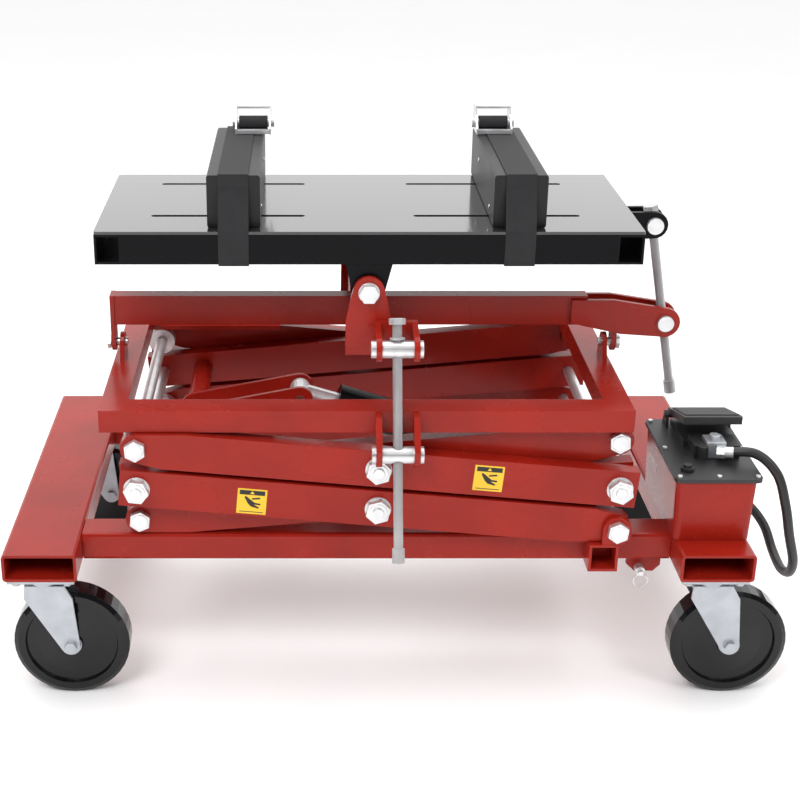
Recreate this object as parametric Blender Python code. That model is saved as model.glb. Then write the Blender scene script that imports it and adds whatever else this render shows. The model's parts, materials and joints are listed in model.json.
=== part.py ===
"""Scissor powertrain lift table: caster base, two-stage scissor, tilting table, foot pump."""
import math

import bmesh
import bpy
from mathutils import Matrix, Vector
from mathutils.geometry import tessellate_polygon

# ---- driving dimensions, metres ---------------------------------------------------------
GAP = 0.0003
WALL = 0.005
LEG_X = 0.5765
LEG_W = 0.127
LEG_Y0, LEG_Y1 = -0.355, 0.356
BASE_Z0, BASE_Z1 = 0.241, 0.292
RAIL_Y0, RAIL_Y1 = 0.212, 0.275

CASTER_Y = (-0.300, 0.301)
CASTER_TRAIL = 0.042
WHEEL_R = 0.1016
WHEEL_HALF = 0.0254

X_R, X_L = 0.4085, -0.4102
Z0, Z1, Z2 = 0.319, 0.393, 0.467
ARM_H = 0.066
OUTER_Y = (0.2765, 0.306)
INNER_Y = (0.242, 0.272)
LUG_R = 0.0255
SHAFT_R = 0.0105
HOLE_R = SHAFT_R + GAP
ROLLER_R = 0.0262
ROLLER_Y = (0.214, 0.239)

RING_X = (-0.470, 0.426)
RING_Y = 0.297
RING_Z = (0.4938, 0.5328)
RING_END, RING_SIDE = 0.045, 0.052

PITCH_Y, PITCH_Z = -0.040, 0.562
BEAM_Y = (-0.055, -0.025)
BEAM_Z = (0.599, 0.653)
ROLL_X, ROLL_Z = -0.018, 0.7126
SADDLE_Z = (0.602, 0.658)
FRONT_UPRIGHT_Y = (-0.215, -0.205)
REAR_UPRIGHT_Y = (0.125, 0.135)
SCREW_R = 0.008
TRUNNION_R = 0.0145
U_FRONT = Vector((0.027, -0.285, 0.638))
W_FRONT = Vector((0.029, -0.335, 0.470))
U_RIGHT = Vector((0.485, -0.040, 0.785))
W_RIGHT = Vector((0.519, -0.040, 0.605))
FRONT_DIR = (W_FRONT - U_FRONT).normalized()
RIGHT_DIR = (W_RIGHT - U_RIGHT).normalized()

TABLE_X = (-0.475, 0.438)
TABLE_Y = (-0.203, 0.182)
TABLE_Z = (0.758, 0.809)
TABLE_TUBE = 0.045
TOP_T = 0.005
BLOCK_X = (-0.2435, 0.2318)
BLOCK_W, BLOCK_H = 0.0885, 0.089
STRAP_W, STRAP_T = 0.0508, 0.002
RATCHET_X = 0.2195

CYL_A = Vector((0.345, 0.0, 0.300))
CYL_Q = Vector((-0.134, 0.0, 0.446))
LEVER_X, LEVER_Z = -0.3305, 0.400
PUMP_X = (0.506, 0.6435)
PUMP_Y = (-0.303, -0.051)
PUMP_Z = (0.2923, 0.404)
HOSE_D = 0.017

COLOURS = {
    "red_paint": ((0.42, 0.03, 0.02), 0.25, 0.0),
    "black_paint": ((0.02, 0.02, 0.022), 0.3, 0.0),
    "black_gloss": ((0.05, 0.05, 0.055), 0.12, 0.0),
    "zinc": ((0.62, 0.62, 0.6), 0.35, 1.0),
    "steel": ((0.7, 0.7, 0.7), 0.3, 1.0),
    "wheel_black": ((0.012, 0.012, 0.013), 0.2, 0.0),
    "hose_rubber": ((0.015, 0.015, 0.015), 0.45, 0.0),
    "block_vinyl": ((0.02, 0.02, 0.02), 0.5, 0.0),
    "webbing": ((0.015, 0.015, 0.017), 0.8, 0.0),
    "black_plastic": ((0.02, 0.02, 0.02), 0.5, 0.0),
}

for old in list(bpy.data.objects):
    bpy.data.objects.remove(old, do_unlink=True)


def material(name):
    """One Principled material per node, named after its finish."""
    colour, rough, metal = COLOURS[name]
    mat = bpy.data.materials.new(name)
    mat.use_nodes = True
    shader = mat.node_tree.nodes["Principled BSDF"]
    shader.inputs["Base Color"].default_value = (*colour, 1.0)
    shader.inputs["Roughness"].default_value = rough
    shader.inputs["Metallic"].default_value = metal
    return mat


# ---- outlines ---------------------------------------------------------------------------
def box_loop(a0, a1, b0, b1):
    """Plain rectangle, counter-clockwise."""
    return [(a0, b0), (a1, b0), (a1, b1), (a0, b1)]


def round_loop(a0, a1, b0, b1, r, steps=2):
    """Rectangle with rounded corners, counter-clockwise."""
    pts = []
    corners = ((a1 - r, b0 + r, -90), (a1 - r, b1 - r, 0), (a0 + r, b1 - r, 90), (a0 + r, b0 + r, 180))
    for ca, cb, start in corners:
        for i in range(steps + 1):
            t = math.radians(start + 90 * i / steps)
            pts.append((ca + r * math.cos(t), cb + r * math.sin(t)))
    return pts


def arc(ca, cb, r, t0, t1, n):
    """Points along an arc, angles in degrees."""
    pts = []
    for i in range(n + 1):
        t = math.radians(t0 + (t1 - t0) * i / n)
        pts.append((ca + r * math.cos(t), cb + r * math.sin(t)))
    return pts


def ring_loop(ca, cb, r, n=20):
    """Full circle."""
    return arc(ca, cb, r, 0, 360, n)[:-1]


# ---- solids -----------------------------------------------------------------------------
def prism(loops, axis, lo, hi):
    """Sweep an outline (first loop) with its holes (other loops) along one axis."""
    bm = bmesh.new()
    put = {"X": lambda a, b, c: (c, a, b), "Y": lambda a, b, c: (a, c, b), "Z": lambda a, b, c: (a, b, c)}[axis]
    flat = [[Vector((a, b, 0.0)) for a, b in loop] for loop in loops]
    tris = tessellate_polygon(flat)
    low = [bm.verts.new(put(p.x, p.y, lo)) for loop in flat for p in loop]
    high = [bm.verts.new(put(p.x, p.y, hi)) for loop in flat for p in loop]
    for t in tris:
        if len(set(t)) == 3:
            bm.faces.new([low[i] for i in t])
            bm.faces.new([high[i] for i in reversed(t)])
    start = 0
    for loop in flat:
        n = len(loop)
        for i in range(n):
            j = (i + 1) % n
            bm.faces.new((low[start + i], low[start + j], high[start + j], high[start + i]))
        start += n
    bmesh.ops.recalc_face_normals(bm, faces=bm.faces)
    return bm


def box(x0, x1, y0, y1, z0, z1):
    """Axis-aligned block."""
    return prism([box_loop(x0, x1, y0, y1)], "Z", z0, z1)


def frame_of(p, q):
    """Rotation taking +Z to the direction from p to q."""
    return (q - p).to_track_quat("Z", "Y").to_matrix().to_4x4()


def rod(p, q, r, n=20):
    """Round bar between two points."""
    p, q = Vector(p), Vector(q)
    bm = prism([ring_loop(0, 0, r, n)], "Z", 0.0, (q - p).length)
    bmesh.ops.transform(bm, matrix=Matrix.Translation(p) @ frame_of(p, q), verts=bm.verts)
    return bm


def hex_bar(p, q, flats):
    """Hexagonal bar between two points, given across flats."""
    p, q = Vector(p), Vector(q)
    bm = prism([ring_loop(0, 0, flats / math.sqrt(3), 6)], "Z", 0.0, (q - p).length)
    bmesh.ops.transform(bm, matrix=Matrix.Translation(p) @ frame_of(p, q), verts=bm.verts)
    return bm


def lathe_y(profile, cx, cy, cz, n=32):
    """Turn a closed (y, r) profile about an axis along Y; the profile stays off the axis."""
    bm = bmesh.new()
    rings = []
    for i in range(n):
        t = 2 * math.pi * i / n
        ring = [bm.verts.new((cx + r * math.cos(t), cy + y, cz + r * math.sin(t))) for y, r in profile]
        rings.append(ring)
    m = len(profile)
    for i in range(n):
        for k in range(m):
            a, b = rings[i], rings[(i + 1) % n]
            bm.faces.new((a[k], a[(k + 1) % m], b[(k + 1) % m], b[k]))
    bmesh.ops.recalc_face_normals(bm, faces=bm.faces)
    return bm


def mirror_y(bm):
    """Mirror a solid front to back."""
    bmesh.ops.scale(bm, vec=(1, -1, 1), verts=bm.verts)
    bmesh.ops.reverse_faces(bm, faces=bm.faces)
    return bm


def temp(bm, name="cutter"):
    """Put a solid in the scene for boolean work."""
    mesh = bpy.data.meshes.new(name)
    bm.to_mesh(mesh)
    bm.free()
    obj = bpy.data.objects.new(name, mesh)
    bpy.context.scene.collection.objects.link(obj)
    return obj


def joined(base, adds=(), cuts=()):
    """Exact union of the adds, then exact difference of the cuts, as one solid."""
    obj = temp(base, "stock")
    cutters = []
    for kind, group in (("UNION", adds), ("DIFFERENCE", cuts)):
        for tool_bm in group:
            tool = temp(tool_bm)
            tool.hide_render = True
            tool.display_type = "WIRE"
            mod = obj.modifiers.new("cut", "BOOLEAN")
            mod.operation = kind
            mod.solver = "EXACT"
            mod.object = tool
            cutters.append(tool)
    bpy.context.view_layer.update()
    graph = bpy.context.evaluated_depsgraph_get()
    bm = bmesh.new()
    bm.from_object(obj, graph)
    for used in cutters + [obj]:
        bpy.data.objects.remove(used, do_unlink=True)
    bmesh.ops.remove_doubles(bm, verts=bm.verts, dist=0.000001)
    bmesh.ops.recalc_face_normals(bm, faces=bm.faces)
    return bm


def node(name, bm, slot, origin=(0, 0, 0), smooth=True):
    """Named object with its origin on the given point."""
    bmesh.ops.translate(bm, vec=-Vector(origin), verts=bm.verts)
    for face in bm.faces:
        face.smooth = smooth
    mesh = bpy.data.meshes.new(name)
    bm.to_mesh(mesh)
    bm.free()
    if smooth:
        mesh.set_sharp_from_angle(angle=math.radians(32))
    mesh.materials.append(material(slot))
    obj = bpy.data.objects.new(name, mesh)
    obj.location = origin
    bpy.context.scene.collection.objects.link(obj)
    return obj


# ---- base -------------------------------------------------------------------------------
def rect_tube(axis, a0, a1, b0, b1, lo, hi, wall=WALL, r=0.006):
    """Rectangular tube with open ends."""
    inner = round_loop(a0 + wall, a1 - wall, b0 + wall, b1 - wall, 0.002, 1)
    return prism([round_loop(a0, a1, b0, b1, r), inner], axis, lo, hi)


for side, sx in (("left", -1), ("right", 1)):
    x0 = sx * LEG_X - LEG_W / 2
    leg = rect_tube("Y", x0, x0 + LEG_W, BASE_Z0, BASE_Z1, LEG_Y0, LEG_Y1)
    plates = []
    for cy in CASTER_Y:
        plates.append(box(sx * LEG_X - 0.057, sx * LEG_X + 0.057, cy - 0.051, cy + 0.051, BASE_Z0 - 0.006,
                          BASE_Z0 + 0.002))
    node("leg_" + side, joined(leg, adds=plates), "red_paint")


def rail():
    """Front rail with its welded scissor pivot bracket."""
    x_end = LEG_X - LEG_W / 2 - GAP
    bar = rect_tube("X", -RAIL_Y1, -RAIL_Y0, BASE_Z0, BASE_Z1, -x_end, x_end)
    stub = prism([box_loop(0.3626, 0.4134, BASE_Z0, BASE_Z1 - 0.0003),
                  box_loop(0.3676, 0.4084, BASE_Z0 + WALL, BASE_Z1 - WALL)], "Y", -0.317, -0.272)
    lug = [(X_R - 0.0245, 0.289), (X_R + 0.0045, 0.289), (X_R + 0.0045, 0.290), (X_R + 0.0245, 0.302)]
    lug += arc(X_R, Z0, 0.0245, 0, 180, 8)
    ear = prism([lug, ring_loop(X_R, Z0, HOLE_R)], "Y", -0.3165, -0.3078)
    return joined(bar, adds=[stub, ear])


node("front_rail", rail(), "red_paint")
node("rear_rail", mirror_y(rail()), "red_paint")

cross = rect_tube("Y", 0.362, 0.413, BASE_Z0, BASE_Z1, -RAIL_Y0 + GAP, RAIL_Y0 - GAP)
clevis = []
for y0 in (-0.0305, 0.0225):
    ear = [(0.370, 0.2755), (0.385, 0.2915)] + arc(CYL_A.x, CYL_A.z, 0.020, 55, 215, 8) + [(0.345, 0.272)]
    ear = [(0.366, 0.272), (0.366, 0.315)] + arc(CYL_A.x, CYL_A.z, 0.020, 45, 250, 8)
    clevis.append(prism([ear], "Y", y0, y0 + 0.008))
clevis.append(rod((CYL_A.x, -0.033, CYL_A.z), (CYL_A.x, 0.033, CYL_A.z), 0.0085))
node("base_cross_tube", joined(cross, adds=clevis), "red_paint")

# ---- casters ----------------------------------------------------------------------------
WHEEL_PROFILE = [(-0.0285, 0.0063), (-0.0285, 0.019), (-0.024, 0.021), (-0.0165, 0.060), (-0.0165, 0.079),
                 (-0.0235, 0.0815), (-0.0235, 0.094), (-0.019, WHEEL_R), (0.019, WHEEL_R), (0.0235, 0.094),
                 (0.0235, 0.0815), (0.0165, 0.079), (0.0165, 0.060), (0.024, 0.021), (0.0285, 0.019),
                 (0.0285, 0.0063)]


def fork(cx, cy):
    """Swivel fork: bearing cap, crown, two cheeks and the axle bolt."""
    top = rod((cx, cy, 0.219), (cx, cy, BASE_Z0 - 0.006 - GAP), 0.036, 28)
    crown = box(cx - 0.032, cx + 0.036, cy - 0.0345, cy + 0.0345, 0.213, 0.221)
    wx = cx + CASTER_TRAIL
    cheek = [(cx - 0.032, 0.2205), (cx - 0.034, 0.196)] + arc(wx, WHEEL_R, 0.017, 205, 380, 8)
    cheek += [(cx + 0.050, 0.196), (cx + 0.036, 0.2205)]
    cheeks = [prism([cheek], "Y", cy + y, cy + y + 0.0045) for y in (-0.0345, 0.030)]
    axle = rod((wx, cy - 0.040, WHEEL_R), (wx, cy + 0.040, WHEEL_R), 0.006, 16)
    heads = [hex_bar((wx, cy + a, WHEEL_R), (wx, cy + b, WHEEL_R), 0.019) for a, b in
             ((-0.042, -0.0343), (0.0343, 0.042))]
    return joined(top, adds=[crown] + cheeks + [axle] + heads)


for side, sx in (("left", -1), ("right", 1)):
    for end, cy in zip(("front", "rear"), CASTER_Y):
        cx = sx * LEG_X
        node("caster_fork_%s_%s" % (side, end), fork(cx, cy), "zinc", (cx, cy, 0.222))
        wx = cx + CASTER_TRAIL
        node("wheel_%s_%s" % (side, end), lathe_y(WHEEL_PROFILE, wx, cy, WHEEL_R, 40), "wheel_black",
             (wx, cy, WHEEL_R))

# ---- scissor arms -----------------------------------------------------------------------
ARM_SLOPE = (Z1 - Z0) / (X_R - X_L)


def arm_loop(xa, za, zb, left_track, flip):
    """Arm outline from the left pivot to the right pivot; one end is a rounded track lug."""
    slope = (zb - za) / (X_R - X_L)
    norm = math.hypot(1.0, slope)
    half = ARM_H / 2 * norm
    rise = 1 if slope > 0 else -1
    sx = 1 if left_track else -1
    px, pz = (X_L, za) if left_track else (X_R, zb)
    qx, qz = (X_R, zb) if left_track else (X_L, za)
    side = -1 if flip else 1
    flat_z = pz - side * LUG_R
    near = px + sx * 0.040

    def edge(x, s):
        return za + (x - X_L) * slope + s * half
    hit = px + sx * (half - LUG_R) / abs(slope)
    c, s = 1 / norm, slope / norm
    ends = []
    for k in (-1, 1):
        ends.append((qx + sx * 0.030 * c - k * ARM_H / 2 * s, qz + sx * 0.030 * s + k * ARM_H / 2 * c))
    lug = arc(px, pz, LUG_R, -90 * side, -90 * side - 150 * sx * side, 8)
    pts = [(hit, flat_z)] + lug + [(near, edge(near, side))]
    tail = ends[::-1] if side == 1 else ends
    return pts + tail, rise


def arm(name, za, zb, left_track, layer, sign, studs):
    """One arm plate with its pivot holes and, on inner arms, the welded mid stud."""
    flip = za > Z1 + 0.01 if left_track else zb > Z1 + 0.01
    loop, _ = arm_loop(X_L, za, zb, left_track, flip)
    xm, zm = (X_L + X_R) / 2, (za + zb) / 2
    y0, y1 = layer
    holes = [ring_loop(X_L, za, HOLE_R), ring_loop(X_R, zb, HOLE_R)]
    if not studs:
        holes.append(ring_loop(xm, zm, HOLE_R))
    bm = prism([loop] + holes, "Y", -y1, -y0)
    if studs:
        bm = joined(bm, adds=[rod((xm, -0.260, zm), (xm, -0.3115, zm), SHAFT_R)])
    if sign > 0:
        mirror_y(bm)
    return bm, (xm, zm)


ARMS = (("outer_lower", Z1, Z0, False, OUTER_Y, False, (X_R, Z0)),
        ("inner_lower", Z0, Z1, True, INNER_Y, True, None),
        ("inner_upper", Z1, Z2, False, INNER_Y, True, (X_L, Z1)),
        ("outer_upper", Z2, Z1, True, OUTER_Y, False, None))
for name, za, zb, left_track, layer, studs, pivot in ARMS:
    for end, sign in (("front", -1), ("rear", 1)):
        bm, mid = arm(name, za, zb, left_track, layer, sign, studs)
        ox, oz = pivot or mid
        node("arm_%s_%s" % (name, end), bm, "red_paint", (ox, 0, oz))

SHAFTS = (("l0", X_L, Z0, 0.2795), ("l1", X_L, Z1, 0.3115), ("l2", X_L, Z2, 0.3115),
          ("r0", X_R, Z0, 0.3225), ("r1", X_R, Z1, 0.3115), ("r2", X_R, Z2, 0.2795))
for name, x, z, half in SHAFTS:
    node("shaft_" + name, rod((x, -half, z), (x, half, z), SHAFT_R), "steel", (x, 0, z))
for name, z in (("l0", Z0), ("l2", Z2)):
    for end, sign in (("front", -1), ("rear", 1)):
        y = sign * sum(ROLLER_Y) / 2
        w = (ROLLER_Y[1] - ROLLER_Y[0]) / 2
        profile = [(-w, HOLE_R), (-w, ROLLER_R - 0.001), (-w + 0.001, ROLLER_R), (w - 0.001, ROLLER_R),
                   (w, ROLLER_R - 0.001), (w, HOLE_R)]
        node("roller_%s_%s" % (name, end), lathe_y(profile, X_L, y, z, 24), "steel", (X_L, y, z))

# ---- lift cylinder and lever ------------------------------------------------------------
along = (CYL_Q - CYL_A).normalized()
eye = rod((CYL_A.x, -0.0215, CYL_A.z), (CYL_A.x, 0.0215, CYL_A.z), 0.0165, 20)
barrel = joined(rod(CYL_A + along * 0.030, CYL_A + along * 0.430, 0.035, 28),
                adds=[rod(CYL_A + along * 0.001, CYL_A + along * 0.034, 0.0135, 16), eye],
                cuts=[rod((CYL_A.x, -0.05, CYL_A.z), (CYL_A.x, 0.05, CYL_A.z), 0.0088, 18),
                      rod(CYL_A + along * 0.044, CYL_A + along * 0.440, 0.0183, 20)])
node("cylinder_barrel", barrel, "black_paint", CYL_A)
ram = joined(rod(CYL_A + along * 0.0455, CYL_Q - along * 0.010, 0.018, 20),
             adds=[rod((CYL_Q.x, -0.024, CYL_Q.z), (CYL_Q.x, 0.024, CYL_Q.z), 0.019, 20)])
node("cylinder_rod", ram, "steel", CYL_Q)

lever = rod((LEVER_X, -INNER_Y[0] + GAP, LEVER_Z), (LEVER_X, INNER_Y[0] - GAP, LEVER_Z), 0.019, 24)
plates = []
tilt = math.degrees(math.atan2(CYL_Q.z - LEVER_Z, CYL_Q.x - LEVER_X))
for y0 in (-0.038, 0.030):
    loop = arc(CYL_Q.x, CYL_Q.z, 0.024, tilt - 85, tilt + 85, 8)
    loop += arc(LEVER_X, LEVER_Z, 0.031, tilt + 95, tilt + 265, 8)
    plates.append(prism([loop, ring_loop(CYL_Q.x, CYL_Q.z, 0.009, 16)], "Y", y0, y0 + 0.008))
node("lift_lever", joined(lever, adds=plates), "red_paint", (X_L, 0, Z1))

# ---- top frame --------------------------------------------------------------------------
rx0, rx1 = RING_X
rz0, rz1 = RING_Z
ring = prism([box_loop(rx0, rx1, -RING_Y, RING_Y),
              box_loop(rx0 + RING_END, rx1 - RING_END, -RING_Y + RING_SIDE, RING_Y - RING_SIDE)], "Z", rz0, rz1)
adds = []
for sign in (-1, 1):
    y0, y1 = sorted((sign * 0.210, sign * 0.2465))
    adds.append(box(-0.440, -0.175, y0, y1, rz0 + 0.0001, rz0 + 0.008))
    y0, y1 = sorted((sign * 0.2285, sign * 0.2385))
    lug = [(X_R - 0.021, 0.500), (X_R - 0.021, Z2)] + arc(X_R, Z2, 0.020, 180, 360, 8) + [(X_R + 0.0172, 0.500)]
    lug = [(X_R - 0.022, 0.500)] + arc(X_R, Z2, 0.020, 180, 350, 8) + [(rx1 - 0.002, 0.500)]
    adds.append(prism([lug, ring_loop(X_R, Z2, HOLE_R)], "Y", y0, y1))
for x0, x1 in ((-0.4584, -0.4504), (0.4115, 0.4195)):
    tab = [(-0.070, rz1 - 0.004), (-0.010, rz1 - 0.004)] + arc(PITCH_Y, PITCH_Z, 0.018, 0, 180, 8)
    adds.append(prism([tab, ring_loop(PITCH_Y, PITCH_Z, 0.0083, 16)], "X", x0, x1))
for x0, x1 in ((-0.0075, 0.0025), (0.0555, 0.0655)):
    ear = [(-0.294, 0.497), (-0.294, rz1 - 0.002), (-0.322, rz1 - 0.002), (-0.3555, 0.482)]
    ear += arc(W_FRONT.y, W_FRONT.z, 0.0205, 170, 350, 8) + [(-0.3135, 0.490)]
    adds.append(prism([ear, ring_loop(W_FRONT.y, W_FRONT.z, TRUNNION_R + GAP)], "X", x0, x1))
cuts = [box(rx0 - 0.01, rx1 + 0.01, s * (RING_Y - RING_SIDE / 2) - 0.022, s * (RING_Y - RING_SIDE / 2) + 0.022,
            rz0 + 0.0085, rz1 - 0.0045) for s in (-1, 1)]
cuts += [box(cx - 0.0185, cx + 0.0185, -0.26, 0.26, rz0 + 0.009, rz1 - 0.005)
         for cx in (rx0 + RING_END / 2, rx1 - RING_END / 2)]
node("top_frame", joined(ring, adds=adds, cuts=cuts), "red_paint", (X_R, 0, Z2))
for side, x0, x1 in (("left", -0.481, -0.446), ("right", 0.405, 0.443)):
    bolt = joined(rod((x0, PITCH_Y, PITCH_Z), (x1, PITCH_Y, PITCH_Z), 0.008, 16),
                  adds=[hex_bar((x0 - 0.001, PITCH_Y, PITCH_Z), (x0 + 0.0055, PITCH_Y, PITCH_Z), 0.022)]
                  if side == "left" else
                  [hex_bar((x1 - 0.0055, PITCH_Y, PITCH_Z), (x1 + 0.001, PITCH_Y, PITCH_Z), 0.022)])
    node("tilt_bolt_" + side, bolt, "steel", (x0, PITCH_Y, PITCH_Z))

# ---- pitch beam -------------------------------------------------------------------------
beam = box(-0.472, 0.379, BEAM_Y[0], BEAM_Y[1], *BEAM_Z)
adds = []
for x0, x1, z1 in ((-0.4735, -0.4655, 0.6532), (0.4275, 0.4355, 0.633)):
    plate = [(-0.0565, z1), (-0.0565, 0.575)] + arc(PITCH_Y, PITCH_Z, 0.016, 180, 360, 8)
    plate += [(-0.0235, 0.575), (-0.0235, z1)]
    adds.append(prism([plate, ring_loop(PITCH_Y, PITCH_Z, 0.0083, 16)], "X", x0, x1))
for y0 in (-0.063, -0.0255):
    ear = [(0.350, 0.6045), (0.350, 0.6475), (0.425, 0.6475)] + arc(W_RIGHT.x, W_RIGHT.z, 0.027, 75, -105, 10)
    ear += [(0.440, 0.5840)]
    adds.append(prism([ear, ring_loop(W_RIGHT.x, W_RIGHT.z, TRUNNION_R + GAP)], "Y", y0, y0 + 0.0085))
for (y0, y1), (u0, u1) in (((-0.2055, -0.054), FRONT_UPRIGHT_Y), ((-0.026, 0.1255), REAR_UPRIGHT_Y)):
    adds.append(box(ROLL_X - 0.026, ROLL_X + 0.026, y0, y1, *SADDLE_Z))
    plate = [(ROLL_X - 0.039, 0.6015), (ROLL_X + 0.039, 0.6015), (ROLL_X + 0.0385, 0.663)]
    plate += arc(ROLL_X, ROLL_Z, 0.027, 12, 168, 8) + [(ROLL_X - 0.0385, 0.663)]
    adds.append(prism([plate, ring_loop(ROLL_X, ROLL_Z, HOLE_R)], "Y", u0, u1))
adds.append(box(-0.008, 0.064, -0.2265, -0.213, 0.612, 0.664))
for x0 in (-0.0079, 0.0541):
    ear = [(-0.220, 0.6122), (-0.220, 0.6638), (-0.262, 0.6600)] + arc(U_FRONT.y, U_FRONT.z, 0.0205, 75, 265, 8)
    adds.append(prism([ear, ring_loop(U_FRONT.y, U_FRONT.z, TRUNNION_R + GAP)], "X", x0, x0 + 0.0098))
node("pitch_beam", joined(beam, adds=adds), "red_paint", (0, PITCH_Y, PITCH_Z))
shaft = joined(rod((ROLL_X, -0.2245, ROLL_Z), (ROLL_X, 0.1445, ROLL_Z), SHAFT_R),
               adds=[rod((ROLL_X, -0.2185, ROLL_Z), (ROLL_X, -0.2155, ROLL_Z), 0.018, 20),
                     hex_bar((ROLL_X, -0.228, ROLL_Z), (ROLL_X, -0.218, ROLL_Z), 0.030)])
node("roll_shaft", shaft, "steel", (ROLL_X, 0, ROLL_Z))

# ---- adjusting screws -------------------------------------------------------------------
cross_x = Vector((1, 0, 0))
cross_y = Vector((0, 1, 0))
SCREWS = (("front", U_FRONT, W_FRONT, FRONT_DIR, cross_x, 0.043, 0.050, 0.355),
          ("right", U_RIGHT, W_RIGHT, RIGHT_DIR, cross_y, 0.031, 0.030, 0.325))
for name, u, w, d, ax, half, above, below in SCREWS:
    for level, p, clear in (("upper", u, GAP), ("lower", w, 0.003)):
        body = rod(p - ax * half, p + ax * half, TRUNNION_R, 24)
        body = joined(body, cuts=[rod(p - d * 0.03, p + d * 0.03, SCREW_R + clear, 20)])
        node("trunnion_%s_%s" % (name, level), body, "steel", p)
    stem = rod(u - d * above, u + d * below, SCREW_R, 20)
    grips = [hex_bar(u - d * (above + 0.001), u - d * (above - 0.009), 0.024),
             rod(u - d * 0.0195, u - d * 0.0153, 0.0125, 20),
             rod(u + d * (below - 0.022), u + d * (below + 0.002), 0.0105, 16)]
    node("screw_" + name, joined(stem, adds=grips), "steel", u)

# ---- table ------------------------------------------------------------------------------
tx0, tx1 = TABLE_X
ty0, ty1 = TABLE_Y
tz0, tz1 = TABLE_Z
tt = TABLE_TUBE
rim = prism([box_loop(tx0, tx1, ty0, ty1), box_loop(tx0 + tt, tx1 - tt, ty0 + tt, ty1 - tt)], "Z", tz0, tz1)
adds = [box(ROLL_X - 0.040, ROLL_X + 0.040, ty0 + 0.030, ty1 - 0.030, tz0 + 0.0006, tz1 - 0.0006)]
for y0 in (-0.2022, 0.1155):
    post = [(ROLL_X + 0.040, tz0 + 0.003), (ROLL_X - 0.040, tz0 + 0.003)]
    post += arc(ROLL_X, ROLL_Z, 0.027, 190, 350, 8)
    adds.append(prism([post, ring_loop(ROLL_X, ROLL_Z, HOLE_R)], "Y", y0, y0 + 0.0085))
for y0 in (-0.063, -0.0255):
    ear = [(tx1 - 0.004, tz0 + 0.002), (tx1 - 0.004, tz1 - 0.001)]
    ear += arc(U_RIGHT.x, U_RIGHT.z, 0.0235, 90, -90, 10)
    adds.append(prism([ear, ring_loop(U_RIGHT.x, U_RIGHT.z, TRUNNION_R + GAP)], "Y", y0, y0 + 0.0085))
cuts = [box(cx - 0.0185, cx + 0.0185, ty0 - 0.01, ty1 + 0.01, tz0 + 0.004, tz1 - 0.004)
        for cx in (tx0 + tt / 2, tx1 - tt / 2)]
cuts += [box(tx0 + tt - 0.008, tx1 - tt + 0.008, cy - 0.0185, cy + 0.0185, tz0 + 0.0045, tz1 - 0.0045)
         for cy in (ty0 + tt / 2, ty1 - tt / 2)]
node("table_frame", joined(rim, adds=adds, cuts=cuts), "black_paint", (ROLL_X, 0, ROLL_Z))

SLOTS = [(x0, x1, y) for x0, x1 in ((-0.388, -0.125), (0.060, 0.345)) for y in (-0.105, 0.111)]
holes = [round_loop(x0, x1, y - 0.006, y + 0.006, 0.0055, 2)[::-1] for x0, x1, y in SLOTS]
top = prism([round_loop(tx0, tx1, ty0, ty1, 0.004, 2)] + holes, "Z", tz1 + GAP, tz1 + GAP + TOP_T)
node("table_top", top, "black_gloss", (ROLL_X, 0, ROLL_Z))

block_z0 = tz1 + 2 * GAP + TOP_T
for side, bx in zip(("left", "right"), BLOCK_X):
    outline = round_loop(bx - BLOCK_W / 2, bx + BLOCK_W / 2, block_z0, block_z0 + BLOCK_H, 0.004, 2)
    node("block_" + side, prism([outline], "Y", -0.180, 0.1815), "block_vinyl", (bx, 0, block_z0))
    bz1 = block_z0 + BLOCK_H + GAP
    inner = [(ty0 - GAP, tz0 - GAP), (ty1 + GAP, tz0 - GAP), (ty1 + GAP, bz1), (-0.180 - GAP, bz1),
             (-0.180 - GAP, bz1 - 0.020), (ty0 - GAP, block_z0)]
    t = STRAP_T
    outer = [(ty0 - GAP - t, tz0 - GAP - t), (ty1 + GAP + t, tz0 - GAP - t), (ty1 + GAP + t, bz1 + t),
             (-0.180 - GAP - t, bz1 + t), (-0.180 - GAP - t, bz1 - 0.020), (ty0 - GAP - t, block_z0)]
    node("strap_" + side, prism([outer, inner], "X", bx - STRAP_W / 2, bx + STRAP_W / 2), "webbing",
         (bx, 0, block_z0))

    rx = math.copysign(RATCHET_X, bx)
    rz = bz1 + t + GAP
    cheek = [(0.112, rz), (0.178, rz), (0.180, rz + 0.026), (0.172, rz + 0.045), (0.150, rz + 0.045),
             (0.140, rz + 0.030), (0.112, rz + 0.010)]
    cheeks = [prism([cheek], "X", x, x + 0.003) for x in (rx - 0.0325, rx + 0.0295)]
    bars = [box(rx - 0.031, rx + 0.031, 0.114, 0.124, rz + 0.0005, rz + 0.0075),
            box(rx - 0.031, rx + 0.031, 0.151, 0.171, rz + 0.0395, rz + 0.0435),
            rod((rx - 0.038, 0.146, rz + 0.0145), (rx + 0.038, 0.146, rz + 0.0145), 0.0085, 16)]
    node("ratchet_" + side, joined(cheeks[0], adds=[bars[0], bars[1], bars[2], cheeks[1]]), "steel", (rx, 0.146, rz))

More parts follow.
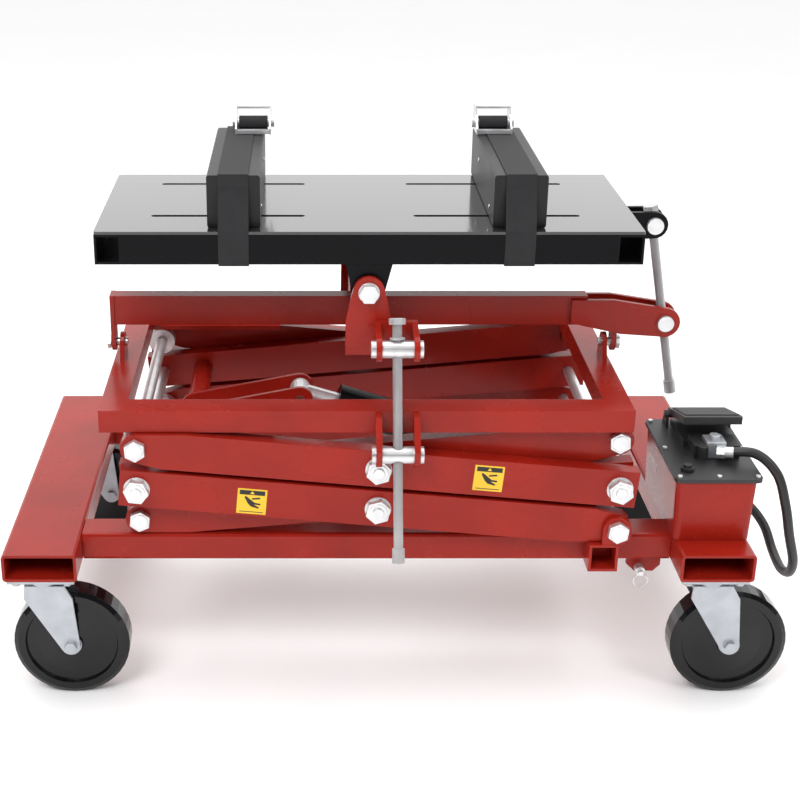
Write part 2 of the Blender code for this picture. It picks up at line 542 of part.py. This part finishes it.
# ---- foot pump --------------------------------------------------------------------------
px0, px1 = PUMP_X
py0, py1 = PUMP_Y
pz0, pz1 = PUMP_Z
tank = prism([round_loop(px0, px1, py0, py1, 0.012, 3)], "Z", pz0, pz1)
for v in tank.verts:
    t = (pz1 - v.co.z) / (pz1 - pz0)
    v.co.x += (0.575 - v.co.x) * 0.05 * t
    v.co.y += (-0.177 - v.co.y) * 0.03 * t
node("pump_reservoir", tank, "red_paint")
lid = prism([round_loop(px0 - 0.004, px1 + 0.008, py0 - 0.004, py1 + 0.004, 0.010, 2)], "Z", pz1 + GAP, pz1 + 0.007)
adds = [box(0.545, 0.640, -0.170, -0.066, pz1 + 0.006, pz1 + 0.0175),
        box(0.552, 0.632, -0.218, -0.168, pz1 + 0.006, pz1 + 0.030),
        rod((0.566, -0.223, 0.409), (0.566, -0.223, 0.436), 0.009, 16)]
for x0 in (0.5325, 0.6455):
    lug = [(-0.088, pz1 + 0.005), (-0.056, pz1 + 0.005)] + arc(-0.072, 0.429, 0.011, 0, 180, 6)
    adds.append(prism([lug, ring_loop(-0.072, 0.429, 0.0043, 12)], "X", x0, x0 + 0.005))
node("pump_unit", joined(lid, adds=adds), "black_plastic")
tread = [(-0.060, 0.4335), (-0.060, 0.4405), (-0.073, 0.4440), (-0.168, 0.4700), (-0.176, 0.4700), (-0.176, 0.4560),
         (-0.168, 0.4560), (-0.083, 0.4345)]
pedal = joined(prism([tread], "X", 0.540, 0.643), adds=
               [rod((0.5312, -0.072, 0.429), (0.6518, -0.072, 0.429), 0.004, 12),
                box(0.560, 0.566, -0.078, -0.066, 0.4262, 0.4375), box(0.617, 0.623, -0.078, -0.066, 0.4262, 0.4375)])
node("treadle", pedal, "black_plastic", (0.5915, -0.072, 0.429))

# ---- hose -------------------------------------------------------------------------------
HOSE = [(0.598, -0.231, 0.428), (0.650, -0.247, 0.432), (0.687, -0.262, 0.400), (0.705, -0.272, 0.345),
        (0.717, -0.275, 0.290), (0.733, -0.265, 0.235), (0.740, -0.235, 0.195), (0.740, -0.190, 0.178),
        (0.738, -0.140, 0.188), (0.728, -0.105, 0.222), (0.700, -0.088, 0.255), (0.668, -0.085, 0.266),
        (0.6412, -0.085, 0.266)]


def smooth_route(points, spacing):
    """Evenly spaced points on a Catmull-Rom curve through the route."""
    p = [Vector(v) for v in points]
    p = [2 * p[0] - p[1]] + p + [2 * p[-1] - p[-2]]
    fine = []
    for i in range(1, len(p) - 2):
        for k in range(24):
            t = k / 24
            a = 2 * p[i] + (p[i + 1] - p[i - 1]) * t
            b = (2 * p[i - 1] - 5 * p[i] + 4 * p[i + 1] - p[i + 2]) * t * t
            c = (3 * p[i] - p[i - 1] - 3 * p[i + 1] + p[i + 2]) * t ** 3
            fine.append((a + b + c) / 2)
    fine.append(p[-2])
    total = sum((b - a).length for a, b in zip(fine, fine[1:]))
    count = max(2, round(total / spacing))
    out = [fine[0]]
    run, want = 0.0, total / count
    for a, b in zip(fine, fine[1:]):
        step = (b - a).length
        while run + step >= want * len(out) and len(out) < count:
            out.append(a.lerp(b, (want * len(out) - run) / step))
        run += step
    return out + [fine[-1]]


curve = bpy.data.curves.new("pump_hose", "CURVE")
curve.dimensions = "3D"
curve.bevel_depth = HOSE_D / 2
curve.bevel_resolution = 3
curve.use_fill_caps = True
route = smooth_route(HOSE, HOSE_D * 1.1)
spline = curve.splines.new("POLY")
spline.points.add(len(route) - 1)
for point, co in zip(spline.points, route):
    point.co = (*co, 1.0)
spline.use_smooth = True
curve.materials.append(material("hose_rubber"))
hose = bpy.data.objects.new("pump_hose", curve)
bpy.context.scene.collection.objects.link(hose)
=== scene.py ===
import math

import bmesh
import bpy
from mathutils import Matrix, Vector
from mathutils.geometry import tessellate_polygon
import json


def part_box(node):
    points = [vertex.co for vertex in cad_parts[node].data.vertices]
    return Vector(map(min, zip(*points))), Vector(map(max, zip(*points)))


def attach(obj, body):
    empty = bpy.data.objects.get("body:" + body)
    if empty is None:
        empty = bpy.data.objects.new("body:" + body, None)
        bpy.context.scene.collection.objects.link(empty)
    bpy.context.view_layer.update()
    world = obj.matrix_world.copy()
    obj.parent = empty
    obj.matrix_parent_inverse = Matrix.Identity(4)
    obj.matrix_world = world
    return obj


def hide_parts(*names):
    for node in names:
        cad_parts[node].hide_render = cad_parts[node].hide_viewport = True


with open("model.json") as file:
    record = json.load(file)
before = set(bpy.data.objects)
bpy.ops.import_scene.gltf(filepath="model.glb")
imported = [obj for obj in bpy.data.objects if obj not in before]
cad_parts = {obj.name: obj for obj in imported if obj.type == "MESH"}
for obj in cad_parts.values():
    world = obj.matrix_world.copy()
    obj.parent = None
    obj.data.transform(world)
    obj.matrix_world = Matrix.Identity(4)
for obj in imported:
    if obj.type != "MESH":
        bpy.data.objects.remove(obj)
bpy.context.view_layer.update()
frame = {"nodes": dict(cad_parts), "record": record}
nodes = frame["nodes"]
slot_of = {s["node"]: s["material_slot"] for s in frame["record"]["subparts"]}
scene = bpy.context.scene

# ---- camera -----------------------------------------------------------------------------
cam_data = bpy.data.cameras.new("camera")
cam_data.lens = 68.4
cam_data.sensor_width = 36
cam_data.shift_x = 0.119
camera = bpy.data.objects.new("camera", cam_data)
camera.location = (-0.1253, -2.627, 1.518)
camera.rotation_euler = (math.radians(67.5), 0, 0)
scene.collection.objects.link(camera)
scene.camera = camera


# ---- materials --------------------------------------------------------------------------
def finish_material(name, colour, rough, metal=0.0, coat=0.0, vary=0.12, scale=9.0, bump=0.0, bump_scale=400.0,
                    edge=0.0012, spec=0.5):
    """Procedural finish: mottled colour and roughness, fine bump, rounded edges."""
    mat = bpy.data.materials.new(name)
    mat.use_nodes = True
    tree = mat.node_tree
    put, link = tree.nodes.new, tree.links.new
    shader = tree.nodes["Principled BSDF"]
    coords = put("ShaderNodeTexCoord")
    noise = put("ShaderNodeTexNoise")
    noise.inputs["Scale"].default_value = scale
    noise.inputs["Detail"].default_value = 5
    link(coords.outputs["Object"], noise.inputs["Vector"])
    ramp = put("ShaderNodeValToRGB")
    dark = [c * (1 - vary) for c in colour]
    light = [min(1.0, c * (1 + vary)) for c in colour]
    ramp.color_ramp.elements[0].position = 0.3
    ramp.color_ramp.elements[1].position = 0.7
    ramp.color_ramp.elements[0].color = (*dark, 1)
    ramp.color_ramp.elements[1].color = (*light, 1)
    link(noise.outputs["Fac"], ramp.inputs["Fac"])
    link(ramp.outputs["Color"], shader.inputs["Base Color"])
    span = put("ShaderNodeMapRange")
    span.inputs["To Min"].default_value = max(0.02, rough - 0.05)
    span.inputs["To Max"].default_value = min(1.0, rough + 0.06)
    link(noise.outputs["Fac"], span.inputs["Value"])
    link(span.outputs["Result"], shader.inputs["Roughness"])
    shader.inputs["Metallic"].default_value = metal
    shader.inputs["Specular IOR Level"].default_value = spec
    shader.inputs["Coat Weight"].default_value = coat
    shader.inputs["Coat Roughness"].default_value = 0.08
    bevel = put("ShaderNodeBevel")
    bevel.samples = 4
    bevel.inputs["Radius"].default_value = edge
    normal = bevel.outputs["Normal"]
    if bump:
        fine = put("ShaderNodeTexNoise")
        fine.inputs["Scale"].default_value = bump_scale
        link(coords.outputs["Object"], fine.inputs["Vector"])
        relief = put("ShaderNodeBump")
        relief.inputs["Strength"].default_value = bump
        relief.inputs["Distance"].default_value = 0.0006
        link(fine.outputs["Fac"], relief.inputs["Height"])
        link(normal, relief.inputs["Normal"])
        normal = relief.outputs["Normal"]
    link(normal, shader.inputs["Normal"])
    return mat


def ribbed(mat, axis_scale, strength, distance=0.0008):
    """Add a wave relief to a finish, for threads, webbing and treads."""
    tree = mat.node_tree
    put, link = tree.nodes.new, tree.links.new
    shader = tree.nodes["Principled BSDF"]
    coords = put("ShaderNodeTexCoord")
    mapping = put("ShaderNodeMapping")
    mapping.inputs["Scale"].default_value = axis_scale
    link(coords.outputs["Object"], mapping.inputs["Vector"])
    wave = put("ShaderNodeTexWave")
    wave.bands_direction = "DIAGONAL"
    wave.inputs["Scale"].default_value = 1.0
    link(mapping.outputs["Vector"], wave.inputs["Vector"])
    relief = put("ShaderNodeBump")
    relief.inputs["Strength"].default_value = strength
    relief.inputs["Distance"].default_value = distance
    link(wave.outputs["Fac"], relief.inputs["Height"])
    old = shader.inputs["Normal"].links[0].from_socket
    link(old, relief.inputs["Normal"])
    link(relief.outputs["Normal"], shader.inputs["Normal"])
    return mat


MATS = {
    "red_paint": finish_material("red_paint", (0.31, 0.014, 0.007), 0.26, coat=0.04, bump=0.05, bump_scale=160,
                                 spec=0.22),
    "black_paint": finish_material("black_paint", (0.003, 0.003, 0.004), 0.30, spec=0.12),
    "black_gloss": finish_material("black_gloss", (0.02, 0.02, 0.021), 0.14, coat=0.75, scale=4),
    "zinc": finish_material("zinc", (0.44, 0.46, 0.49), 0.36, metal=0.75, scale=30, bump=0.1),
    "steel": finish_material("steel", (0.72, 0.72, 0.73), 0.30, metal=0.7, scale=40),
    "wheel_black": finish_material("wheel_black", (0.004, 0.004, 0.005), 0.14, coat=0.12, spec=0.3),
    "hose_rubber": finish_material("hose_rubber", (0.014, 0.014, 0.014), 0.42, bump=0.15),
    "block_vinyl": finish_material("block_vinyl", (0.008, 0.008, 0.009), 0.45, bump=0.4, bump_scale=260,
                                   spec=0.35),
    "webbing": ribbed(finish_material("webbing", (0.012, 0.012, 0.014), 0.72, vary=0.25, scale=60),
                      (0, 500, 500), 0.7),
    "black_plastic": finish_material("black_plastic", (0.016, 0.016, 0.017), 0.42, bump=0.25),
    "thread": ribbed(finish_material("thread", (0.66, 0.66, 0.67), 0.32, metal=0.65), (0, 0, 1400), 0.8),
    "chrome": finish_material("chrome", (0.8, 0.8, 0.82), 0.12, metal=1.0),
    "yellow": finish_material("yellow", (0.85, 0.52, 0.02), 0.4, vary=0.05),
    "ink": finish_material("ink", (0.01, 0.01, 0.01), 0.5, edge=0.0001),
    "white_label": finish_material("white_label", (0.8, 0.8, 0.78), 0.5, vary=0.04),
    "floor": finish_material("floor", (0.97, 0.97, 0.97), 0.6, vary=0.01, scale=2),
}
for name, obj in nodes.items():
    mat = MATS["thread" if name.startswith("screw_") else slot_of[name]]
    if not obj.data.materials:
        obj.data.materials.append(mat)
    for i in range(len(obj.data.materials)):
        obj.data.materials[i] = mat


# ---- shapes -----------------------------------------------------------------------------
def piece(name, bm, mat, body, smooth=True, bevel=0.0):
    """A visible piece that rides on a CAD body."""
    if smooth:
        for f in bm.faces:
            f.smooth = True
    mesh = bpy.data.meshes.new(name)
    bm.to_mesh(mesh)
    bm.free()
    if smooth:
        mesh.set_sharp_from_angle(angle=math.radians(32))
    mesh.materials.append(MATS[mat])
    obj = bpy.data.objects.new(name, mesh)
    scene.collection.objects.link(obj)
    if bevel:
        mod = obj.modifiers.new("bevel", "BEVEL")
        mod.width = bevel
        mod.segments = 2
        mod.limit_method = "ANGLE"
    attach(obj, body)
    return obj


def prism(loops, axis, lo, hi):
    """Sweep an outline (first loop) with its holes (other loops) along one axis."""
    bm = bmesh.new()
    put = {"X": lambda a, b, c: (c, a, b), "Y": lambda a, b, c: (a, c, b), "Z": lambda a, b, c: (a, b, c)}[axis]
    flat = [[Vector((a, b, 0.0)) for a, b in loop] for loop in loops]
    low = [bm.verts.new(put(p.x, p.y, lo)) for loop in flat for p in loop]
    high = [bm.verts.new(put(p.x, p.y, hi)) for loop in flat for p in loop]
    for t in tessellate_polygon(flat):
        if len(set(t)) == 3:
            bm.faces.new([low[i] for i in t])
            bm.faces.new([high[i] for i in reversed(t)])
    start = 0
    for loop in flat:
        n = len(loop)
        for i in range(n):
            j = (i + 1) % n
            bm.faces.new((low[start + i], low[start + j], high[start + j], high[start + i]))
        start += n
    bmesh.ops.recalc_face_normals(bm, faces=bm.faces)
    return bm


def circle(ca, cb, r, n=32, turn=0.0):
    """Full circle of points, or a hexagon with n=6."""
    return [(ca + r * math.cos(turn + 2 * math.pi * i / n), cb + r * math.sin(turn + 2 * math.pi * i / n))
            for i in range(n)]


def box(x0, x1, y0, y1, z0, z1):
    """Axis-aligned block."""
    return prism([[(x0, y0), (x1, y0), (x1, y1), (x0, y1)]], "Z", z0, z1)


def bar(p, q, r, n=28, turn=0.0):
    """Round or hexagonal bar between two points."""
    p, q = Vector(p), Vector(q)
    bm = prism([circle(0, 0, r, n, turn)], "Z", 0.0, (q - p).length)
    turn_to = (q - p).to_track_quat("Z", "Y").to_matrix().to_4x4()
    bmesh.ops.transform(bm, matrix=Matrix.Translation(p) @ turn_to, verts=bm.verts)
    return bm


def merge(*parts):
    """Several solids in one piece."""
    out = bmesh.new()
    for part in parts:
        mesh = bpy.data.meshes.new("part")
        part.to_mesh(mesh)
        part.free()
        out.from_mesh(mesh)
        bpy.data.meshes.remove(mesh)
    return out


def nut_y(name, x, z, y, sign, body, flats=0.038, height=0.014, washer=0.0225, stud=0.0095, turn=0.3):
    """Washer, hex and stud end on a face that looks along Y."""
    parts = []
    if washer:
        parts.append(bar((x, y, z), (x, y + sign * 0.0025, z), washer))
        y += sign * 0.0025
    r = flats / math.sqrt(3)
    parts.append(bar((x, y, z), (x, y + sign * height, z), r, 6, turn))
    parts.append(bar((x, y, z), (x, y + sign * (height + 0.0012), z), flats * 0.42))
    if stud:
        parts.append(bar((x, y, z), (x, y + sign * (height + 0.0045), z), stud))
    return piece(name, merge(*parts), "steel", body, bevel=0.0006)


# ---- fasteners on the scissor -----------------------------------------------------------
X_R, X_L, X_M = 0.4085, -0.4102, -0.00085
Z0, Z1, Z2 = 0.319, 0.393, 0.467
OUTER_FACE, INNER_FACE, LUG_FACE = 0.3062, 0.2722, 0.3167
for sign, end in ((-1, "front"), (1, "rear")):
    for name, x, z, body in (("l1", X_L, Z1, "outer_lower"), ("r1", X_R, Z1, "inner_lower"),
                             ("m0", X_M, (Z0 + Z1) / 2, "inner_lower"), ("m1", X_M, (Z1 + Z2) / 2, "inner_upper")):
        nut_y("nut_%s_%s" % (name, end), x, z, sign * OUTER_FACE, sign, body, turn=0.3 + x)
    for name, x, z, y, body in (("l2", X_L, Z2, OUTER_FACE, "outer_upper"),
                                ("l0", X_L, Z0, INNER_FACE, "inner_lower"),
                                ("r2", X_R, Z2, INNER_FACE, "inner_upper"), ("r0", X_R, Z0, LUG_FACE, "base")):
        nut_y("head_%s_%s" % (name, end), x, z, sign * y, sign, body, flats=0.033, height=0.012, washer=0.0,
              stud=0.0, turn=0.1 + z)

# ---- casters ----------------------------------------------------------------------------
CASTER_X, TRAIL, AXLE_Z = 0.5765, 0.042, 0.1016
PLATE_X, PLATE_Y = 0.0575, 0.0515
BOLT_X, BOLT_Y = 0.044, 0.038
for side, sx in (("left", -1), ("right", 1)):
    for end, cy in (("front", -0.300), ("rear", 0.301)):
        cx = sx * CASTER_X
        parts = [box(cx - PLATE_X, cx + PLATE_X, cy - PLATE_Y, cy + PLATE_Y, 0.2347, 0.2409)]
        for bx in (-BOLT_X, BOLT_X):
            for by in (-BOLT_Y, BOLT_Y):
                parts.append(bar((cx + bx, cy + by, 0.2275), (cx + bx, cy + by, 0.236), 0.0085, 6))
        piece("caster_plate_%s_%s" % (side, end), merge(*parts), "zinc", "base")
        wx = cx + TRAIL
        for k, s in enumerate((-1, 1)):
            piece("hub_ring_%s_%s_%d" % (side, end, k),
                  prism([circle(wx, AXLE_Z, 0.0185), circle(wx, AXLE_Z, 0.0075)], "Y", *sorted(
                      (cy + s * 0.0283, cy + s * 0.0289))), "zinc", "wheel_%s_%s" % (side, end))

# ---- warning stickers -------------------------------------------------------------------
SLOPE = math.atan2(Z0 - Z1, X_R - X_L)


def sticker(name, cx, cz, y, body):
    """Yellow sticker with a dark band, a pictogram of a hand under a bar and plain rules; no lettering."""
    w, h = 0.0252, 0.0235

    def shape(points, depth, mat, tag):
        loop = []
        for a, b in points:
            loop.append((cx + a * math.cos(SLOPE) - b * math.sin(SLOPE),
                         cz + a * math.sin(SLOPE) + b * math.cos(SLOPE)))
        return piece(name + tag, prism([loop], "Y", y - depth, y), mat, body, smooth=False)
    shape([(-w, -h), (w, -h), (w, h), (-w, h)], 0.0003, "yellow", "")
    shape([(-w * 0.86, h * 0.52), (w * 0.86, h * 0.52), (w * 0.86, h * 0.88), (-w * 0.86, h * 0.88)], 0.0004,
          "ink", "_band")
    shape([(-0.004, h * 0.60), (0.004, h * 0.60), (0.0, h * 0.84)], 0.0005, "yellow", "_mark")
    shape([(-0.013, 0.0075), (-0.011, 0.0100), (0.005, -0.0020), (0.015, -0.0030), (0.015, -0.0060),
           (0.004, -0.0055), (0.013, -0.0105), (0.0115, -0.0125), (-0.001, -0.0095), (-0.007, -0.0035)],
          0.0004, "ink", "_hand")
    shape([(0.000, 0.0035), (0.014, 0.0055), (0.0135, 0.0085), (0.000, 0.0065)], 0.0004, "ink", "_jaw")
    shape([(-w * 0.8, -h * 0.86), (w * 0.8, -h * 0.86), (w * 0.8, -h * 0.80), (-w * 0.8, -h * 0.80)], 0.0004,
          "ink", "_rule")


sticker("sticker_lower", -0.2154, 0.3700, -0.3061, "outer_lower")
sticker("sticker_upper", 0.1852, 0.4132, -0.3061, "outer_upper")

# ---- blocks and straps ------------------------------------------------------------------
for side, bx, ridge in (("left", -0.2435, 1), ("right", 0.2318, -1)):
    for k, (y, z) in enumerate(((-0.12, 0.835), (0.06, 0.872))):
        x = bx + ridge * 0.0443
        piece("block_stud_%s_%d" % (side, k), bar((x - ridge * 0.001, y, z), (x + ridge * 0.0012, y, z), 0.004, 16),
              "chrome", "table")
    lo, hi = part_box("ratchet_" + side)
    mid = (lo.x + hi.x) / 2
    piece("strap_roll_" + side, bar((mid - 0.026, 0.146, 0.921), (mid + 0.026, 0.146, 0.921), 0.0125, 24), "webbing",
          "table")

# ---- pump details -----------------------------------------------------------------------
screws = []
for x in (0.511, 0.578, 0.6435):
    for y in (-0.297, -0.178, -0.057):
        if x == 0.578 and y == -0.178:
            continue
        screws.append(bar((x, y, 0.4105), (x, y, 0.4145), 0.0042, 12))
piece("lid_screws", merge(*screws), "steel", "base")
piece("air_block", merge(box(0.572, 0.606, -0.222, -0.186, 0.4115, 0.4415), bar((0.589, -0.204, 0.4405),
      (0.589, -0.204, 0.4495), 0.0105, 6)), "zinc", "base", bevel=0.001)
exit_at = Vector((0.598, -0.231, 0.428))
exit_dir = (Vector((0.650, -0.247, 0.432)) - exit_at).normalized()
piece("hose_fitting", merge(bar(exit_at - exit_dir * 0.010, exit_at + exit_dir * 0.004, 0.0115, 6),
                            bar(exit_at + exit_dir * 0.002, exit_at + exit_dir * 0.018, 0.0100, 24)), "steel", "base",
      bevel=0.0005)
piece("hose_gland", merge(bar((0.6402, -0.085, 0.266), (0.6495, -0.085, 0.266), 0.0135, 6),
                          bar((0.649, -0.085, 0.266), (0.656, -0.085, 0.266), 0.0105, 24)), "steel", "base")
piece("filler_cap", merge(bar((0.530, -0.268, 0.4112), (0.530, -0.268, 0.4172), 0.0115, 24),
                          bar((0.530, -0.268, 0.417), (0.530, -0.268, 0.422), 0.008, 6)), "black_plastic", "base")
ribs = []
for i in range(9):
    y = -0.1645 + i * 0.0105
    z = 0.4700 - (i * 0.0105 + 0.0035) * 0.2737
    ribs.append(box(0.5435, 0.6395, y - 0.0022, y + 0.0022, z - 0.003, z + 0.0022))
piece("treadle_ribs", merge(*ribs), "black_plastic", "treadle", bevel=0.0006)
piece("reservoir_label", box(0.5072, 0.5082, -0.150, -0.085, 0.352, 0.392), "white_label", "base", smooth=False)

# ---- caster lock pin --------------------------------------------------------------------
piece("lock_bracket", prism([[(0.440, 0.2402), (0.500, 0.2402), (0.500, 0.226), (0.488, 0.214), (0.455, 0.214),
                              (0.440, 0.228)]], "Y", -0.266, -0.258), "red_paint", "base", bevel=0.001)
ring_bm = bmesh.new()
n_ring, n_sec, r_ring, r_sec = 32, 8, 0.0125, 0.0014
centre = Vector((0.462, -0.290, 0.208))
grid = []
for i in range(n_ring):
    a = 2 * math.pi * i / n_ring
    ring = []
    for k in range(n_sec):
        b = 2 * math.pi * k / n_sec
        reach = r_ring + r_sec * math.cos(b)
        ring.append(ring_bm.verts.new(centre + Vector((reach * math.cos(a), r_sec * math.sin(b), reach * math.sin(a)))))
    grid.append(ring)
for i in range(n_ring):
    for k in range(n_sec):
        a, b = grid[i], grid[(i + 1) % n_ring]
        ring_bm.faces.new((a[k], a[(k + 1) % n_sec], b[(k + 1) % n_sec], b[k]))
bmesh.ops.recalc_face_normals(ring_bm, faces=ring_bm.faces)
piece("lock_ring", ring_bm, "steel", "base")
piece("lock_pin", merge(bar((0.462, -0.292, 0.2225), (0.462, -0.246, 0.2225), 0.0045, 16),
                        bar((0.462, -0.284, 0.2225), (0.462, -0.2665, 0.2225), 0.0085, 20)), "steel", "base")

# ---- hose -------------------------------------------------------------------------------
HOSE_D = 0.017
HOSE = [(0.598, -0.231, 0.428), (0.650, -0.247, 0.432), (0.687, -0.262, 0.400), (0.705, -0.272, 0.345),
        (0.717, -0.275, 0.290), (0.733, -0.265, 0.235), (0.740, -0.235, 0.195), (0.740, -0.190, 0.178),
        (0.738, -0.140, 0.188), (0.728, -0.105, 0.222), (0.700, -0.088, 0.255), (0.668, -0.085, 0.266),
        (0.6412, -0.085, 0.266)]


def smooth_route(points, parts=16):
    """Dense points on a Catmull-Rom curve through the route."""
    p = [Vector(v) for v in points]
    p = [2 * p[0] - p[1]] + p + [2 * p[-1] - p[-2]]
    fine = []
    for i in range(1, len(p) - 2):
        for k in range(parts):
            t = k / parts
            a = 2 * p[i] + (p[i + 1] - p[i - 1]) * t
            b = (2 * p[i - 1] - 5 * p[i] + 4 * p[i + 1] - p[i + 2]) * t * t
            c = (3 * p[i] - p[i - 1] - 3 * p[i + 1] + p[i + 2]) * t ** 3
            fine.append((a + b + c) / 2)
    return fine + [p[-2]]


route = smooth_route(HOSE)
curve = bpy.data.curves.new("hose", "CURVE")
curve.dimensions = "3D"
curve.bevel_depth = HOSE_D / 2
curve.bevel_resolution = 6
curve.use_fill_caps = True
spline = curve.splines.new("POLY")
spline.points.add(len(route) - 1)
for point, co in zip(spline.points, route):
    point.co = (*co, 1.0)
spline.use_smooth = True
curve.materials.append(MATS["hose_rubber"])
hose = bpy.data.objects.new("hose", curve)
scene.collection.objects.link(hose)
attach(hose, "base")
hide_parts("pump_hose")

# ---- floor and light --------------------------------------------------------------------
floor_mesh = bpy.data.meshes.new("floor")
floor_mesh.from_pydata([(-30, -30, 0), (30, -30, 0), (30, 30, 0), (-30, 30, 0)], [], [(0, 1, 2, 3)])
floor_mesh.materials.append(MATS["floor"])
floor = bpy.data.objects.new("floor", floor_mesh)
scene.collection.objects.link(floor)
for name, place, size, power in (("key", (-1.6, -2.9, 3.6), 2.0, 110), ("fill", (2.4, -2.6, 2.8), 1.6, 45),
                                 ("top", (0.0, 0.8, 3.6), 3.0, 60)):
    lamp = bpy.data.lights.new(name, "AREA")
    lamp.energy = power
    lamp.size = size
    light = bpy.data.objects.new(name, lamp)
    light.location = place
    aim = Vector((0, 0, 0.4)) - Vector(place)
    light.rotation_euler = aim.to_track_quat("-Z", "Y").to_euler()
    scene.collection.objects.link(light)
scene.view_settings.view_transform = "Standard"
world = bpy.data.worlds.new("world")
scene.world = world
world.use_nodes = True
sky = world.node_tree
way = sky.nodes.new("ShaderNodeTexCoord")
split = sky.nodes.new("ShaderNodeSeparateXYZ")
fade = sky.nodes.new("ShaderNodeMapRange")
fade.interpolation_type = "SMOOTHSTEP"
fade.inputs["From Min"].default_value = -0.75
fade.inputs["From Max"].default_value = 0.35
fade.inputs["To Min"].default_value = 0.10
fade.inputs["To Max"].default_value = 1.4
sky.links.new(way.outputs["Generated"], split.inputs["Vector"])
sky.links.new(split.outputs["Y"], fade.inputs["Value"])
sky.nodes["Background"].inputs["Color"].default_value = (1.0, 1.0, 1.0, 1)
sky.links.new(fade.outputs["Result"], sky.nodes["Background"].inputs["Strength"])
